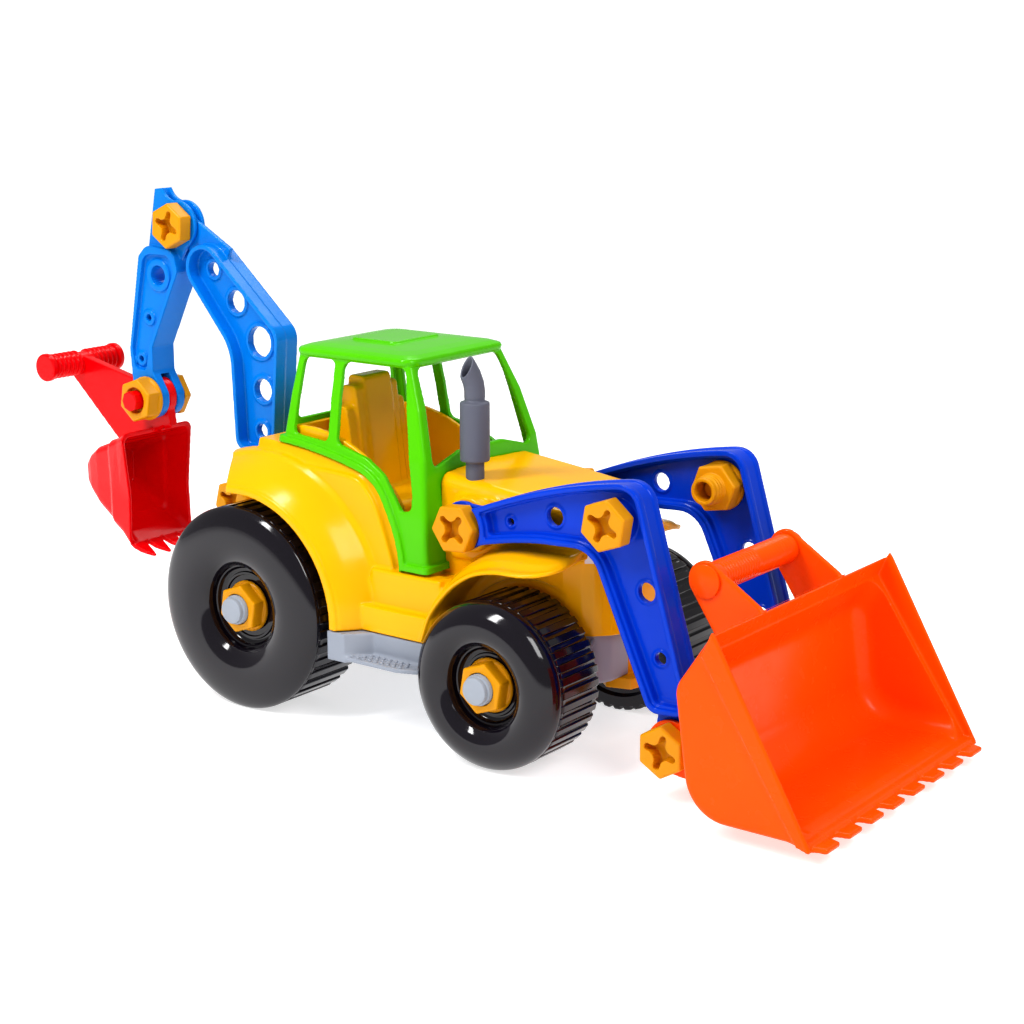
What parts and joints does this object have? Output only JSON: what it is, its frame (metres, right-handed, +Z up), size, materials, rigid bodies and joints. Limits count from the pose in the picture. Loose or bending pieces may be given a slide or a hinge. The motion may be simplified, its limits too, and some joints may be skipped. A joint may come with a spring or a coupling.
{
  "type": "toy backhoe loader",
  "caption": "Push-along toy tractor with front loader bucket and rear backhoe, bolted together with large toy bolts and nuts.",
  "frame": {"origin": "on the floor under the middle of the bounding box", "axes": "+X towards the loader bucket, +Y towards the vehicle's left, +Z up"},
  "size_m": [0.5974, 0.1832, 0.2806],
  "materials": {
    "yellow_plastic": "gloss, moulded",
    "green_plastic": "gloss, moulded",
    "royal_blue_plastic": "gloss, moulded",
    "sky_blue_plastic": "gloss, moulded",
    "red_plastic": "gloss, moulded",
    "orange_plastic": "gloss, moulded",
    "black_plastic": "high gloss, blow-moulded",
    "grey_plastic": "satin, moulded",
    "matte_grey_plastic": "matte, moulded",
    "clear_plastic": "clear lens"
  },
  "bodies": {
    "chassis_and_body": {"chassis": "grey_plastic", "body_shell": "yellow_plastic", "seat": "yellow_plastic", "cab_frame": "green_plastic", "exhaust_stack": "matte_grey_plastic", "headlight_right": "clear_plastic", "headlight_left": "clear_plastic", "rear_axle": "matte_grey_plastic", "front_axle": "matte_grey_plastic", "rear_axle_nut_right": "yellow_plastic", "rear_axle_nut_left": "yellow_plastic", "front_axle_nut_right": "yellow_plastic", "front_axle_nut_left": "yellow_plastic", "chassis_bolt": "yellow_plastic", "loader_pivot_bolt_right": "yellow_plastic", "loader_pivot_bolt_left": "yellow_plastic", "boom_foot_bolt": "yellow_plastic", "boom_foot_nut": "yellow_plastic"},
    "rear_wheel_right": {"rear_wheel_dish_right": "black_plastic", "rear_wheel_tread_right": "black_plastic"},
    "rear_wheel_left": {"rear_wheel_dish_left": "black_plastic", "rear_wheel_tread_left": "black_plastic"},
    "front_wheel_right": {"front_wheel_dish_right": "black_plastic", "front_wheel_tread_right": "black_plastic"},
    "front_wheel_left": {"front_wheel_dish_left": "black_plastic", "front_wheel_tread_left": "black_plastic"},
    "loader_arms": {"loader_arm_right": "royal_blue_plastic", "loader_arm_left": "royal_blue_plastic", "knee_bolt_right": "yellow_plastic", "knee_bolt_left": "yellow_plastic", "knee_nut_right": "yellow_plastic", "knee_nut_left": "yellow_plastic", "bucket_bolt_right": "yellow_plastic", "bucket_bolt_left": "yellow_plastic", "bucket_nut_right": "yellow_plastic", "bucket_nut_left": "yellow_plastic"},
    "loader_bucket": {"loader_bucket": "orange_plastic", "bucket_grip": "orange_plastic"},
    "boom": {"boom": "sky_blue_plastic"},
    "dipper": {"dipper": "sky_blue_plastic", "elbow_bolt": "yellow_plastic", "curl_stud": "red_plastic", "curl_nut_right": "yellow_plastic", "curl_nut_left": "yellow_plastic"},
    "backhoe_bucket": {"backhoe_bucket": "red_plastic"}
  },
  "joints": [
    {"name": "rear_wheel_right_spin", "type": "hinge", "parent": "chassis_and_body", "child": "rear_wheel_right", "pos_m": [-0.0748, -0.063, 0.058], "axis": [0, 1, 0], "continuous": true},
    {"name": "rear_wheel_left_spin", "type": "hinge", "parent": "chassis_and_body", "child": "rear_wheel_left", "pos_m": [-0.0748, 0.063, 0.058], "axis": [0, 1, 0], "continuous": true},
    {"name": "front_wheel_right_spin", "type": "hinge", "parent": "chassis_and_body", "child": "front_wheel_right", "pos_m": [0.0963, -0.063, 0.045], "axis": [0, 1, 0], "continuous": true},
    {"name": "front_wheel_left_spin", "type": "hinge", "parent": "chassis_and_body", "child": "front_wheel_left", "pos_m": [0.0963, 0.063, 0.045], "axis": [0, 1, 0], "continuous": true},
    {"name": "loader_lift", "type": "hinge", "parent": "chassis_and_body", "child": "loader_arms", "pos_m": [0.0612, 0, 0.1194], "axis": [0, -1, 0], "range_deg": [0, 55]},
    {"name": "bucket_tip", "type": "hinge", "parent": "loader_arms", "child": "loader_bucket", "pos_m": [0.194, 0, 0.0266], "axis": [0, 1, 0], "range_deg": [-3, 55]},
    {"name": "boom_swing", "type": "hinge", "parent": "chassis_and_body", "child": "boom", "pos_m": [-0.1408, 0, 0.098], "axis": [0, -1, 0], "range_deg": [0, 45]},
    {"name": "dipper_swing", "type": "hinge", "parent": "boom", "child": "dipper", "pos_m": [-0.1921, 0, 0.2591], "axis": [0, 1, 0], "range_deg": [-3, 55]},
    {"name": "backhoe_curl", "type": "hinge", "parent": "dipper", "child": "backhoe_bucket", "pos_m": [-0.2187, 0, 0.1517], "axis": [0, -1, 0], "range_deg": [-15, 25]}
  ]
}
